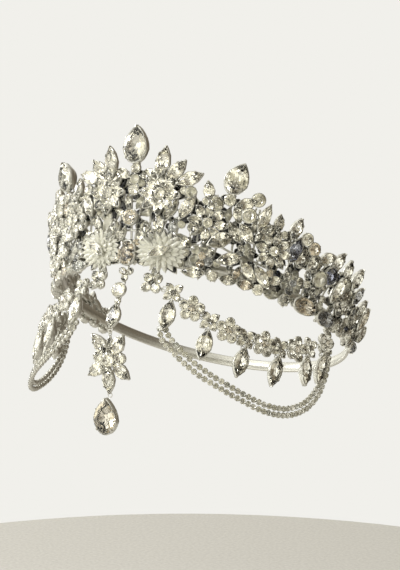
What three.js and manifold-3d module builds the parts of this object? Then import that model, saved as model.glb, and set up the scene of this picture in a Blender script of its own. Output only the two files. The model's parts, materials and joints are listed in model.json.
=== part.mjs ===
import * as THREE from "three";
import { mergeVertices } from "three/addons/utils/BufferGeometryUtils.js";
import Module from "manifold-3d";

// A bridal crown of soldered metal and claw-set glass stones, in millimetres.
// +Z is up as worn, the front faces -Y and the wearer's left is +X.
// The origin is the centre of the ring where the crown sits on the head.

// Driving dimensions
const ringHalfWidth = 78; // centre of the ring to the wall over an ear
const ringHalfDepth = 82; // centre of the ring to the wall at the front
const tiltBack = 26; // degrees by which the front of the ring is raised
const flare = 16; // degrees by which the wall leans out from the ring's axis
const bandHeight = 6;
const bandThickness = 1.6;
const wallThickness = 2.4; // the cups with the stones set in them
const ornamentEnds = 108; // degrees round from the front, where a plain band takes over
const wallColumns = 36;
const arcPerDegree = (Math.PI / 180) * ringHalfWidth;
const headBegins = -4; // below this height the pieces lie on the head, under the ring
const cupDepth = 2.6;
const wideCup = 6.5; // from this width on, a cup's outline is drawn with finer steps
const cupSunk = 1; // how deep a cup's back lies in the wall
const cupRim = 0.8; // how far a cup stands out round its stone
const stoneHeight = 4;
const flowerDepth = 2.4;
const flowerGap = 0.7; // between the wall and the back of a mounted flower
const gap = 0.3; // between a stone and its cup, and between linked pieces
const tabDepth = 0.8; // the flat tabs that link one hanging piece behind the next
const tabWidth = 1.4;
const lugTop = 1.5; // up the band
const linkBack = 0.2; // how far off the head the back of a festoon's link lies
const linkDepth = 3.2;
const strandDiameter = 2.5; // cup chain
const strandSteps = 30;
const sides = [["left", 1], ["right", -1]];
const dropHinge = { height: -36.8, proud: 2 }; // where the forehead drop swings, under its link
const starBelowHinge = 13;
const pearBelowStar = 27;

const wasm = await Module();
wasm.setup();
const rad = THREE.MathUtils.degToRad;

// Directions of the tilted ring
const across = new THREE.Vector3(1, 0, 0);
const forward = new THREE.Vector3(0, -Math.cos(rad(tiltBack)), Math.sin(rad(tiltBack)));
const ringAxis = new THREE.Vector3(0, Math.sin(rad(tiltBack)), Math.cos(rad(tiltBack)));

// A frame on the wall: X runs round towards the wearer's left, Y up the wall, Z outwards.
// angle is degrees round from the front, height is up the wall, proud is outwards, and
// spin turns clockwise as seen from outside. Below the ring the surface is the head,
// which runs straight on along the ring's axis.
function wallFrame(angle, height, proud = 0, spin = 0) {
  const turn = rad(angle);
  const lean = height > headBegins ? rad(flare) : 0;
  const outward = across.clone().multiplyScalar(Math.sin(turn) * ringHalfDepth);
  outward.addScaledVector(forward, Math.cos(turn) * ringHalfWidth).normalize();
  const up = ringAxis.clone().multiplyScalar(Math.cos(lean)).addScaledVector(outward, Math.sin(lean));
  const out = outward.clone().multiplyScalar(Math.cos(lean)).addScaledVector(ringAxis, -Math.sin(lean));
  const place = across.clone().multiplyScalar(ringHalfWidth * Math.sin(turn));
  place.addScaledVector(forward, ringHalfDepth * Math.cos(turn));
  place.addScaledVector(up, height).addScaledVector(out, proud);
  const frame = new THREE.Matrix4().makeBasis(up.clone().cross(out), up, out).setPosition(place);
  return frame.multiply(new THREE.Matrix4().makeRotationZ(-rad(spin)));
}

function wallPoint(angle, height, proud) {
  return new THREE.Vector3().setFromMatrixPosition(wallFrame(angle, height, proud));
}

function outwardAt(angle, height) {
  return new THREE.Vector3().setFromMatrixColumn(wallFrame(angle, height), 2);
}

// Outlines, with their long axis on Y
function navette(length, width) {
  const shape = new THREE.Shape();
  shape.moveTo(0, -length / 2);
  shape.quadraticCurveTo(width, 0, 0, length / 2);
  shape.quadraticCurveTo(-width, 0, 0, -length / 2);
  return shape;
}

function oval(length, width) {
  return new THREE.Shape().absellipse(0, 0, width / 2, length / 2, 0, 2 * Math.PI, false, 0);
}

function pear(length, width) {
  const low = width / 2 - length / 2; // centre of the round end
  const shoulder = low + width * 0.45;
  const shape = new THREE.Shape();
  shape.absarc(0, low, width / 2, Math.PI, 2 * Math.PI, false);
  shape.quadraticCurveTo(width / 2, shoulder, 0, length / 2);
  shape.quadraticCurveTo(-width / 2, shoulder, -width / 2, low);
  return shape;
}

const outlines = { navette, oval, pear };

// The outline of a flower: petals of the given shoulder, as a share of the outer radius
function petalled(petals, valley, radius, shoulder) {
  const pitch = (2 * Math.PI) / petals;
  const shape = new THREE.Shape();
  for (let i = 0; i < petals; i++)
    for (const [share, reach] of [[-0.5, valley], [-0.24, shoulder], [0, 1], [0.24, shoulder]]) {
      const turn = (i + share) * pitch;
      const point = [Math.sin(turn) * radius * reach, Math.cos(turn) * radius * reach];
      if (i === 0 && share === -0.5) shape.moveTo(...point);
      else shape.lineTo(...point);
    }
  return shape;
}

// A flat slab of an outline, standing on Z = back
function slab(shape, depth, segments, back = 0) {
  const settings = { depth, bevelEnabled: false, curveSegments: segments };
  return new THREE.ExtrudeGeometry(shape, settings).translate(0, 0, back);
}

// A cut stone: a girdle between a sloping crown and a sloping underside
function stone(shape, height, segments, back = 0) {
  const slope = height * 0.35;
  const settings = { depth: height - 2 * slope, curveSegments: segments, bevelSegments: 1 };
  Object.assign(settings, { bevelThickness: slope, bevelSize: slope, bevelOffset: -slope });
  return new THREE.ExtrudeGeometry(shape, settings).translate(0, 0, back + slope);
}

// A straight bar of rectangular section between two points, its flat side facing outwards
function bar(from, to, out, width, thickness) {
  const along = to.clone().sub(from);
  const length = along.length();
  along.normalize();
  const side = along.clone().cross(out).normalize();
  const facing = side.clone().cross(along);
  const middle = from.clone().add(to).multiplyScalar(0.5);
  const place = new THREE.Matrix4().makeBasis(side, along, facing).setPosition(middle);
  return new THREE.BoxGeometry(width, length, thickness).applyMatrix4(place);
}

// A round strand along a smooth curve
function strand(points, diameter, steps) {
  const section = oval(diameter, diameter);
  const extrudePath = new THREE.CatmullRomCurve3(points, false, "centripetal");
  return new THREE.ExtrudeGeometry(section, { extrudePath, steps, curveSegments: 4 });
}

function solid(geometry) {
  const bare = geometry.clone();
  bare.deleteAttribute("normal");
  bare.deleteAttribute("uv");
  const merged = mergeVertices(bare, 1e-4);
  const vertProperties = merged.attributes.position.array;
  const triVerts = new Uint32Array(merged.index.array);
  return new wasm.Manifold(new wasm.Mesh({ numProp: 3, vertProperties, triVerts }));
}

function asGeometry(manifold) {
  const mesh = manifold.getMesh();
  const geometry = new THREE.BufferGeometry();
  geometry.setAttribute("position", new THREE.BufferAttribute(mesh.vertProperties, 3));
  return geometry.setIndex(new THREE.BufferAttribute(mesh.triVerts, 1));
}

function joined(geometries) {
  return geometries.map(solid).reduce((whole, piece) => whole.add(piece));
}

function soldered(geometries) {
  return asGeometry(joined(geometries));
}

const silver = new THREE.MeshStandardMaterial({ color: 0xd9d8d0, roughness: 0.25, metalness: 1 });
const glass = new THREE.MeshStandardMaterial({ color: 0xe9e4d6, roughness: 0.05, metalness: 0.6 });
const paved = new THREE.MeshStandardMaterial({ color: 0xdedacb, roughness: 0.15, metalness: 0.8 });

const crown = new THREE.Group();
crown.name = "bridal_crown";

function addPiece(name, geometry, material) {
  const mesh = new THREE.Mesh(geometry, material);
  mesh.name = name;
  crown.add(mesh);
}

// Makes a piece on the centre line once, and any other for the left and the right
function eachSide(name, angle, make) {
  if (angle === 0) return make(name, 1);
  for (const [side, sign] of sides) make(`${name}_${side}`, sign);
}

// The paved wall: its top line, the openings between its stones, and the cups that stand
// above the top line or hang on the lower edge. Angles are on the wearer's left half.
const topLine = [
  // angle, height
  [0, 45],
  [9, 44],
  [17, 40],
  [22, 34],
  [30, 41],
  [35, 36],
  [40, 36],
  [46, 31],
  [53, 31],
  [60, 27],
  [72, 25],
  [83, 24],
  [91, 16],
  [101, 13],
  [ornamentEnds, 7],
];
const wallOpenings = [
  // angle, height, spin, length, width
  [0, 29, 0, 6, 2.6],
  [0, 14, 60, 6, 4],
  [6.2, 20.8, -60, 7, 3],
  [15.4, 28.4, 25, 11, 2.6],
  [19, 18.2, 85, 9, 3.4],
  [21, 37, 0, 5, 3],
  [22.6, 3.8, 90, 4, 2.4],
  [32.6, 13.6, 75, 10, 4],
  [33.6, 3.4, 60, 6, 3],
  [41.6, 18.4, 90, 4.5, 3],
  [42.2, 3.6, 130, 8, 2.6],
  [45.6, 11, 140, 6, 2.4],
  [52.2, 13.2, 0, 4, 3],
  [62, 5.4, 70, 9, 4],
  [61, 12.6, 60, 5, 2.4],
  [76.6, 5.4, 90, 8, 3.4],
  [73, 13, 20, 8, 3.4],
  [87, 9, 70, 7, 3],
];
const cups = [
  // outline, angle, height, spin, length, width
  ["oval", 0, 46.4, 0, 4.6, 4.6],
  ["navette", 4.4, 43.6, 70, 8, 4.5],
  ["navette", 8.8, 49.5, 8, 14, 6.5],
  ["navette", 13.4, 46, 38, 12, 6],
  ["navette", 17.8, 43, 66, 12, 6],
  ["navette", 23.8, 39, -15, 9, 5],
  ["navette", 35.3, 37, 62, 10, 5],
  ["oval", 38.5, 40, 0, 6, 6],
  ["navette", 41.7, 33, 8, 13, 5],
  ["navette", 46.8, 32.5, -8, 8, 5],
  ["navette", 52.4, 33.5, 10, 10, 5.5],
  ["oval", 57, 30.5, 0, 5.5, 5.5],
  ["oval", 60.6, 28, 0, 6, 6],
  ["navette", 66.5, 26.6, 58, 9, 5],
  ["navette", 71.2, 27.5, 20, 11, 5.5],
  ["navette", 76.8, 26.5, -8, 10, 5],
  ["navette", 82.8, 26, 15, 11, 5.5],
  ["navette", 87.6, 20, 20, 10, 5],
  ["navette", 94, 16.5, 10, 10, 5],
  ["navette", 100.5, 13.6, 15, 11, 5],
  ["navette", 106.6, 8.6, 30, 10, 5],
  ["navette", 24, -0.4, 88, 12, 5.5],
  ["oval", 30.6, -0.2, 0, 5.5, 5.5],
  ["navette", 36, -0.2, 90, 9, 5],
  ["navette", 42, -0.2, 90, 9, 5],
  ["oval", 46.8, -0.4, 0, 5.5, 5.5],
  ["navette", 51.8, -0.2, 90, 9, 5],
  ["oval", 57, -0.4, 0, 6, 6],
  ["oval", 83.4, 0, 0, 6, 6],
  ["navette", 88.8, 0, 90, 9, 5],
  ["oval", 94, 0, 0, 6, 6],
  ["navette", 99.6, 0, 90, 10, 5],
  ["oval", 105.4, 0, 0, 6, 6],
];
// Stones of their own, each over a cup of the wall
const setStones = [
  // name, outline, angle, height, spin, length, width
  ["centre_pear_stone", "pear", 0, 57.6, 0, 18, 13],
  ["side_pear_stone", "pear", 31, 47.6, 3, 15, 10.5],
  ["centre_oval_stone", "oval", 0, 4.6, 0, 12, 9.5],
  ["border_oval_front", "oval", 65.4, 0.8, 90, 14, 8],
  ["border_oval_rear", "oval", 76.4, 0.4, 90, 12.5, 7.5],
];
// Lugs below the ring: a wire down from the band and the cup or cluster soldered to it
const lugs = [
  // angle, foot height, wire's back, cluster height, petals, cluster radius
  [0, -13, 0.2, -6.2, 3, 3.6],
  [11, -10, -0.4, -10.4, 4, 4.4],
  [81, -8, 0.2, 0, 0, 0],
];
// Flowers mounted on the wall
const mountedFlowers = [
  // name, angle, height, petals, outer radius, centre diameter
  ["rosette", 12.3, 6.4, 12, 10.2, 7],
  ["upper_flower", 9.2, 34.4, 7, 8.2, 5.5],
  ["side_flower", 25.4, 24, 7, 7.6, 5.5],
  ["temple_flower", 47.6, 19.4, 7, 7.6, 5.5],
];

// Pointed petals with a stone standing up in their middle
function pointedFlower(petals, radius, centre) {
  const leaf = slab(petalled(petals, 0.62, radius, 0.86), flowerDepth, 1);
  return [leaf, slab(oval(centre, centre), flowerDepth + 1, 4)];
}

// The plain ring that the wall stands on, closed round the back of the head
function headBand() {
  const rim = (grow) => [ringHalfWidth + grow, ringHalfDepth + grow];
  const shape = new THREE.Shape();
  shape.absellipse(0, 0, ...rim(bandThickness / 2), 0, 2 * Math.PI, false, 0);
  const hole = new THREE.Path();
  hole.absellipse(0, 0, ...rim(-bandThickness / 2), 0, 2 * Math.PI, true, 0);
  shape.holes.push(hole);
  const place = new THREE.Matrix4().makeBasis(across, forward.clone().negate(), ringAxis);
  return slab(shape, bandHeight, 32).applyMatrix4(place);
}

function topHeight(angle) {
  const next = topLine.findIndex(([place]) => place >= Math.abs(angle));
  if (next <= 0) return topLine[0][1];
  const [[angleA, heightA], [angleB, heightB]] = topLine.slice(next - 1, next + 1);
  return THREE.MathUtils.mapLinear(Math.abs(angle), angleA, angleB, heightA, heightB);
}

// A sheet bent onto the wall, from the ring up to the top line
function wallSheet() {
  const sheet = new THREE.BoxGeometry(2 * ornamentEnds, 1, wallThickness, wallColumns, 1, 1);
  const positions = sheet.attributes.position;
  for (let i = 0; i < positions.count; i++) {
    const angle = positions.getX(i);
    const height = (positions.getY(i) + 0.5) * topHeight(angle);
    const point = wallPoint(angle, height, positions.getZ(i));
    positions.setXYZ(i, point.x, point.y, point.z);
  }
  return sheet;
}

function cupOf(outline, angle, height, spin, length, width) {
  const place = wallFrame(angle, height, wallThickness / 2 - cupSunk, spin);
  return slab(outlines[outline](length, width), cupDepth, width > wideCup ? 4 : 3).applyMatrix4(place);
}

function buildFrame() {
  const openings = [];
  const pieces = [headBand(), wallSheet()];
  for (const [angle, height, spin, length, width] of wallOpenings)
    eachSide("", angle, (piece, sign) => {
      const cutter = slab(navette(length, width), 4 * wallThickness, 2, -2 * wallThickness);
      openings.push(cutter.applyMatrix4(wallFrame(sign * angle, height, 0, sign * spin)));
    });
  for (const [outline, angle, height, spin, ...size] of cups)
    eachSide("", angle, (piece, sign) =>
      pieces.push(cupOf(outline, sign * angle, height, sign * spin, ...size)),
    );
  for (const [, outline, angle, height, spin, length, width] of setStones)
    eachSide("", angle, (piece, sign) => {
      const size = [length + 2 * cupRim, width + 2 * cupRim];
      pieces.push(cupOf(outline, sign * angle, height, sign * spin, ...size));
    });
  for (const [angle, ...lug] of lugs)
    eachSide("", angle, (piece, sign) => pieces.push(...lugPieces(sign, angle, ...lug)));
  return asGeometry(joined(pieces).subtract(joined(openings)));
}

const hangingBack = linkBack + tabDepth + gap; // the back of a flower, in front of its tabs

function cluster(petals, radius) {
  return slab(petalled(petals, 0.68, radius, 0.95), linkDepth, 1);
}

// A flat tab between two places on the wall, its back at the given distance outwards
function tab(angleA, heightA, angleB, heightB, back) {
  const ends = [wallPoint(angleA, heightA, back + tabDepth / 2)];
  ends.push(wallPoint(angleB, heightB, back + tabDepth / 2));
  return bar(...ends, outwardAt((angleA + angleB) / 2, (heightA + heightB) / 2), tabWidth, tabDepth);
}

function lugPieces(sign, angle, foot, back, clusterHeight, petals, radius) {
  const wire = tab(sign * angle, lugTop, sign * angle, foot, back);
  if (petals === 0) return [wire];
  const place = wallFrame(sign * angle, clusterHeight, back + tabDepth / 2);
  return [wire, cluster(petals, radius).applyMatrix4(place)];
}

const faceProud = wallThickness / 2 - cupSunk + cupDepth + gap; // the back of what is set on a cup
addPiece("crown_frame", buildFrame(), silver);
for (const [name, outline, angle, height, spin, length, width] of setStones)
  eachSide(name, angle, (piece, sign) => {
    const place = wallFrame(sign * angle, height, faceProud, sign * spin);
    addPiece(piece, stone(outlines[outline](length, width), stoneHeight, 4).applyMatrix4(place), glass);
  });
for (const [name, angle, height, ...petals] of mountedFlowers)
  eachSide(name, angle, (piece, sign) => {
    const place = wallFrame(sign * angle, height, wallThickness / 2 + flowerGap);
    addPiece(piece, soldered(pointedFlower(...petals)).applyMatrix4(place), paved);
  });

// The festoons: links and flowers in turn, from the cluster by the forehead to the temple,
// with a navette hanging from each link and from the last flower
const festoon = [
  // kind, angle, height
  ["link", 19, -13],
  ["flower", 26.4, -19.4],
  ["link", 33.2, -23],
  ["flower", 39.9, -25.2],
  ["link", 46.5, -26.2],
  ["flower", 53, -26],
  ["link", 59.5, -24.6],
  ["flower", 66, -22],
  ["link", 72.6, -17.6],
  ["flower", 80, -11.6],
];
const festoonPetals = { link: [4, 3.4], flower: [5, 5.6] }; // petals and radius
const festoonNavette = { length: 13, width: 7, below: { link: 11.4, flower: 12.6 } };
const navetteLap = 1; // how far below the middle of its link a navette's tab stops

function buildFestoon(side, sign) {
  const counts = { link: 0, flower: 0, navette: 0 };
  festoon.forEach(([kind, angle, height], i) => {
    counts[kind] += 1;
    const isLink = kind === "link";
    const back = isLink ? linkBack : hangingBack;
    const place = wallFrame(sign * angle, height, back);
    const pieces = [cluster(...festoonPetals[kind]).applyMatrix4(place)];
    if (isLink) pieces.push(linkTab(sign, i, 1), i > 0 ? linkTab(sign, i, -1) : startTab(sign));
    addPiece(`festoon_${kind}_${counts[kind]}_${side}`, soldered(pieces), paved);
    if (isLink || i === festoon.length - 1) {
      counts.navette += 1;
      const name = `festoon_navette_${counts.navette}_${side}`;
      const below = festoonNavette.below[kind];
      addPiece(name, hangingNavette(sign * angle, height, below, back - gap - tabDepth), glass);
    }
  });
}

// A link's tab towards a place at the given distance before another piece's middle
function tabTowards(sign, [angle, height], [otherAngle, otherHeight], stop) {
  const distance = Math.hypot((otherAngle - angle) * arcPerDegree, otherHeight - height);
  const share = 1 - stop / distance;
  const end = [angle + (otherAngle - angle) * share, height + (otherHeight - height) * share];
  return tab(sign * angle, height, sign * end[0], end[1], linkBack);
}

function linkTab(sign, i, step) {
  const behindFlower = festoonPetals.flower[1] * 0.62; // under the ends of its petals
  return tabTowards(sign, festoon[i].slice(1), festoon[i + step].slice(1), behindFlower);
}

function startTab(sign) {
  const [angle, , , height, , radius] = lugs[1]; // the cluster under the rosette
  return tabTowards(sign, festoon[0].slice(1), [angle, height], radius + gap);
}

function hangingNavette(angle, height, below, back) {
  const { length, width } = festoonNavette;
  const body = stone(navette(length, width), linkDepth, 4);
  body.applyMatrix4(wallFrame(angle, height - below, back));
  return soldered([body, tab(angle, height - below, angle, height - navetteLap, back)]);
}

// The two strands of cup chain under each festoon, as angle and height along their route
const strandRoutes = {
  lower: [[17.4, -31.6], [19, -36.5], [23, -41], [31.9, -48.4], [42.5, -53.2], [54, -56.2],
    [62, -56.4], [70, -53.6], [78, -46.5], [83.6, -37], [86, -27], [86, -20], [85.3, -13.3]],
  upper: [[19.5, -31.6], [22, -35.6], [27, -40.6], [33, -45.4], [43, -50], [54, -53],
    [61.8, -53.2], [69.2, -50.6], [76.3, -44.2], [81.2, -35.6], [83.8, -27.5], [83.9, -22.5],
    [83.2, -17.4]],
};

for (const [side, sign] of sides) {
  buildFestoon(side, sign);
  for (const [name, route] of Object.entries(strandRoutes)) {
    const points = route.map(([angle, height]) => wallPoint(sign * angle, height, strandDiameter / 2));
    addPiece(`cup_chain_${name}_${side}`, strand(points, strandDiameter, strandSteps), silver);
  }
}

// The forehead drop: a round stone and a navette link that lie on the forehead, then the
// star and the pear, which hang plumb from the link's eye
const dropTop = { height: -15.6, diameter: 7.2, lap: 1.4 }; // the link's tab stops short by its lap
const dropLink = { height: -28.6, length: 13.5, width: 7.4, eye: 1 };

function buildDropLink() {
  const tabBack = hangingBack - gap - tabDepth;
  const body = stone(navette(dropLink.length, dropLink.width), linkDepth, 4);
  body.applyMatrix4(wallFrame(0, dropLink.height, tabBack));
  const up = tab(0, dropLink.height, 0, dropTop.height - dropTop.lap, tabBack);
  const eyeFoot = dropHinge.height - dropLink.eye;
  const eye = tab(0, dropLink.height, 0, eyeFoot, dropHinge.proud - tabDepth / 2);
  return soldered([body, up, eye]);
}

const starPetals = [
  // spin, length, width, middle's distance from the centre
  [36, 9.6, 4.8, 7.6],
  [-36, 9.6, 4.8, 7.6],
  [128, 9.2, 4.6, 7.2],
  [-128, 9.2, 4.6, 7.2],
  [180, 12, 5.4, 8.8],
  [84, 4.4, 4.4, 5],
  [-84, 4.4, 4.4, 5],
];
const starCentre = 6.8;
const starDepth = 3;
const dropPear = { length: 17, width: 12.4, back: -1 };
const ear = { width: 1.2, gap: 0.4, above: 1 }; // each side of the link's eye, and above the hinge
const carrier = { top: 13, lap: 2.5 }; // the tab from the lowest petal to behind the pear's cup

// Hanging pieces face forwards: X to the wearer's left, Y up, Z to the front
function hangingFrame(below) {
  const hinge = wallPoint(0, dropHinge.height, dropHinge.proud);
  const basis = new THREE.Matrix4().makeRotationX(Math.PI / 2);
  return basis.setPosition(0, hinge.y, hinge.z - below);
}

function buildStar() {
  const pieces = [slab(oval(starCentre, starCentre), starDepth, 4, -starDepth / 2)];
  for (const [spin, length, width, distance] of starPetals) {
    const outline = length > width ? navette(length, width) : oval(length, width);
    const petal = slab(outline, starDepth * 0.9, 3, -starDepth / 2).translate(0, distance, 0);
    pieces.push(petal.rotateZ(-rad(spin)));
  }
  const earLength = starBelowHinge + ear.above;
  for (const sign of [-1, 1]) {
    const aside = tabWidth / 2 + ear.gap + ear.width / 2;
    const post = new THREE.BoxGeometry(ear.width, earLength, ear.width);
    pieces.push(post.translate(sign * aside, earLength / 2, 0));
  }
  const carrierFoot = pearBelowStar - dropPear.length / 2 + carrier.lap;
  const strip = new THREE.BoxGeometry(tabWidth, carrierFoot - carrier.top, tabDepth);
  const stripMiddle = (carrier.top + carrierFoot) / 2;
  pieces.push(strip.translate(0, -stripMiddle, dropPear.back - gap - tabDepth / 2));
  return soldered(pieces).applyMatrix4(hangingFrame(starBelowHinge));
}

function buildPearCup() {
  const outline = pear(dropPear.length + 2 * cupRim, dropPear.width + 2 * cupRim);
  const cupBody = slab(outline, cupDepth, 5, dropPear.back);
  return cupBody.applyMatrix4(hangingFrame(starBelowHinge + pearBelowStar));
}

function buildPearStone() {
  const back = dropPear.back + cupDepth + gap;
  const body = stone(pear(dropPear.length, dropPear.width), stoneHeight, 6, back);
  return body.applyMatrix4(hangingFrame(starBelowHinge + pearBelowStar));
}

function buildDropTop() {
  const body = stone(oval(dropTop.diameter, dropTop.diameter), linkDepth, 5);
  return body.applyMatrix4(wallFrame(0, dropTop.height, hangingBack));
}

addPiece("drop_top_stone", buildDropTop(), glass);
addPiece("drop_link", buildDropLink(), glass);
addPiece("drop_star", buildStar(), paved);
addPiece("drop_pear_cup", buildPearCup(), silver);
addPiece("drop_pear_stone", buildPearStone(), glass);

export default crown;
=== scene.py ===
import json
import math
import random

import bmesh
import bpy
from mathutils import Matrix, Vector

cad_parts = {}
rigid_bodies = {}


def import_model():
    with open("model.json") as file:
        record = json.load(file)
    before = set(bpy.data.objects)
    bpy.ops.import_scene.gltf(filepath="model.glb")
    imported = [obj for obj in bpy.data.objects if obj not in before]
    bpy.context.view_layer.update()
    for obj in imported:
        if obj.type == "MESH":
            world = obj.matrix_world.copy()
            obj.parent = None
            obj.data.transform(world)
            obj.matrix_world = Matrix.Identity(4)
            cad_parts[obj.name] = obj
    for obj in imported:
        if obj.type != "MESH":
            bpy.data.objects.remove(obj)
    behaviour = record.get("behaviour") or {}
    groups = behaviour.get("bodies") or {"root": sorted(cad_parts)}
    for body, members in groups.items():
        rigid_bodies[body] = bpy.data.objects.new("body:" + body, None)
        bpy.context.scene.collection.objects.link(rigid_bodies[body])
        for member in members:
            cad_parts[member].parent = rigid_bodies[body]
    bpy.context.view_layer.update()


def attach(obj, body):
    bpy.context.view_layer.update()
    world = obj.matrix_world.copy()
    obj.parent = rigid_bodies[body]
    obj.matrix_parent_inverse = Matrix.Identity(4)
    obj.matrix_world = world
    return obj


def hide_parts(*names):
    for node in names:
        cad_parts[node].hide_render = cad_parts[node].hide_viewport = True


# A bridal crown: foiled crystal stones in silver-plated cups, soldered to a wire frame.
# Angles are degrees round from the front, heights are millimetres up the wall.
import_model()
mm = 0.001


def hexToLinear(text):
    levels = [int(text[i:i + 2], 16) / 255 for i in (1, 3, 5)]
    return (*(c / 12.92 if c <= 0.04045 else ((c + 0.055) / 1.055) ** 2.4 for c in levels), 1)


def addNode(tree, kind, settings):
    # The node's own properties are set first, because they decide which sockets it has.
    # A socket gets a value, or a link from another socket or from the first one of a node.
    node = tree.nodes.new(kind)
    own = [key for key in settings if isinstance(key, str) and hasattr(node, key)]
    for key in own:
        setattr(node, key, settings[key])
    for key, value in settings.items():
        source = value.outputs[0] if isinstance(value, bpy.types.Node) else value
        if isinstance(source, bpy.types.NodeSocket):
            tree.links.new(source, node.inputs[key])
        elif key not in own:
            node.inputs[key].default_value = value
    return node


def newMesh(name, points, faces=(), edges=()):
    mesh = bpy.data.meshes.new(name)
    mesh.from_pydata([tuple(p) for p in points], edges, faces)
    return mesh


def newObject(name, mesh):
    piece = bpy.data.objects.new(name, mesh)
    bpy.context.scene.collection.objects.link(piece)
    return piece


def tidyNormals(mesh):
    work = bmesh.new()
    work.from_mesh(mesh)
    bmesh.ops.remove_doubles(work, verts=work.verts, dist=1e-7)
    bmesh.ops.recalc_face_normals(work, faces=work.faces)
    work.to_mesh(mesh)
    work.free()


def shift(x, y, z):
    return Matrix.Translation((x * mm, y * mm, z * mm))


def spun(degrees, axis="Z"):
    return Matrix.Rotation(math.radians(degrees), 4, axis)


# The wall that the stones follow
wall = {
    "ringHalfWidth": 78,
    "ringHalfDepth": 82,
    "tiltBack": 26,
    "flare": 16,
    "headBegins": -4,  # below this the pieces lie on the head, which runs straight down
    "ends": 108,
    "bandHeight": 6,
    "bandThickness": 1.6,
    "bandEdge": 0.5,
}
tilt = math.radians(wall["tiltBack"])
across = Vector((1, 0, 0))
forward = Vector((0, -math.cos(tilt), math.sin(tilt)))
ringAxis = Vector((0, math.sin(tilt), math.cos(tilt)))
sides = (("left", 1), ("right", -1))


def wallMatrix(angle, height, proud=0, spin=0):
    # X runs round to the wearer's left, Y up the wall, Z outwards
    turn = math.radians(angle)
    lean = math.radians(wall["flare"]) if height > wall["headBegins"] else 0
    halfWidth, halfDepth = wall["ringHalfWidth"], wall["ringHalfDepth"]
    outward = (across * math.sin(turn) * halfDepth + forward * math.cos(turn) * halfWidth).normalized()
    up = ringAxis * math.cos(lean) + outward * math.sin(lean)
    out = outward * math.cos(lean) - ringAxis * math.sin(lean)
    place = across * halfWidth * math.sin(turn) + forward * halfDepth * math.cos(turn)
    place = place + up * height + out * proud
    matrix = Matrix((up.cross(out), up, out)).transposed().to_4x4()
    matrix.translation = place * mm
    return matrix @ spun(-spin)


def wallPoint(angle, height, proud=0):
    return wallMatrix(angle, height, proud).translation


def arcAt(height):
    # millimetres along the wall for one degree
    radius = (wall["ringHalfWidth"] + wall["ringHalfDepth"]) / 2
    return math.radians(1) * (radius + max(height, 0) * math.sin(math.radians(wall["flare"])))


glass = {
    "ior": 1.56,  # lead-free crystal
    "foils": (
        # place along the tint attribute, colour, roughness; the first, near-black foil is painted shade for
        # the dark gaps between the stones
        (0.0, "#222322", 0.05), (0.2, "#979CB4", 0.05), (0.4, "#E0E0D9", 0.05), (0.46, "#F6F4E8", 0.3),
        (0.54, "#F6F4E8", 0.3), (0.6, "#FBF9F0", 0.05), (0.8, "#FBF9F0", 0.05), (1.0, "#ECE4D5", 0.05),
    ),
    "opalMilk": "#F4F2DF",
    "opalCloud": "#FCFBF0",
    "opalClearness": 0.4,
    "opalVeil": 1.6,  # millimetres
    "opalIor": 1.52,
    "opalPolish": 0.02,
}
metal = {
    "silver": "#F1F0EA",
    "shade": "#C2C0B6",
    # the chain's two tones are greyer than the silver above: painted shade between the chain's stones
    "chainSilverPaintedShade": "#E6E4DC",
    "chainShade": "#B8B6AD",
    "roughness": 0.24,
    "roughnessSpread": 0.14,
    "grain": 0.9,  # millimetres
}


def newMaterial(name, values):
    material = bpy.data.materials.new(name)
    material.use_nodes = True
    shader = material.node_tree.nodes["Principled BSDF"]
    for label, value in values.items():
        shader.inputs[label].default_value = value
    return material, material.node_tree, shader


def fillRamp(ramp, stops):
    # stops are (position, colour), in order
    while len(ramp.elements) < len(stops):
        ramp.elements.new(0.5)
    for element, (position, colour) in zip(ramp.elements, stops):
        element.position = position
        element.color = colour


def mottle(tree, shader, size, detail, dark, pale):
    # Clouds two tones together in the piece's own space; size is the clouds' width in millimetres
    place = addNode(tree, "ShaderNodeTexCoord", {})
    cloud = addNode(tree, "ShaderNodeTexNoise", {
        "Scale": 1 / (size * mm), "Detail": detail, "Vector": place.outputs["Object"]})
    tone = addNode(tree, "ShaderNodeMix", {
        "data_type": "RGBA", 6: hexToLinear(dark), 7: hexToLinear(pale), 0: cloud.outputs["Fac"]})
    tree.links.new(tone.outputs[2], shader.inputs["Base Color"])
    return cloud


def machineCutCrystal():
    # pressed and polished lead-free crystal: clear, with sharp bright edges
    return newMaterial("machine cut crystal", {
        "Base Color": (1, 1, 1, 1), "Roughness": 0, "IOR": glass["ior"], "Transmission Weight": 1})[0]


def silverFoil():
    # vacuum-silvered backs of the stones: they turn the light round inside the glass
    material, tree, shader = newMaterial("silver foil backing", {"Metallic": 1})
    tint = addNode(tree, "ShaderNodeAttribute", {"attribute_name": "tint"})
    ramp = addNode(tree, "ShaderNodeValToRGB", {"Fac": tint.outputs["Fac"]})
    fillRamp(ramp.color_ramp, [(place, (*hexToLinear(colour)[:3], roughness))
                               for place, colour, roughness in glass["foils"]])
    tree.links.new(ramp.outputs["Color"], shader.inputs["Base Color"])
    tree.links.new(ramp.outputs["Alpha"], shader.inputs["Roughness"])
    return material


def milkyOpalGlass():
    # half-clear opal glass: creamy all over, with the silvered back still showing through
    material, tree, shader = newMaterial("milky opal glass", {
        "Roughness": glass["opalPolish"], "IOR": glass["opalIor"],
        "Transmission Weight": glass["opalClearness"]})
    mottle(tree, shader, glass["opalVeil"], 2, glass["opalMilk"], glass["opalCloud"])
    return material


def silverPlatedBrass(name, shade, bright):
    # cast and tumbled, then bright plated: soft highlights, greyer where it is worn
    material, tree, shader = newMaterial(name, {"Metallic": 1})
    cloud = mottle(tree, shader, metal["grain"], 3, metal[shade], metal[bright])
    rough = addNode(tree, "ShaderNodeMath", {
        "operation": "MULTIPLY_ADD", 1: metal["roughnessSpread"], 2: metal["roughness"],
        0: cloud.outputs["Fac"]})
    tree.links.new(rough.outputs[0], shader.inputs["Roughness"])
    return material


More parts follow.
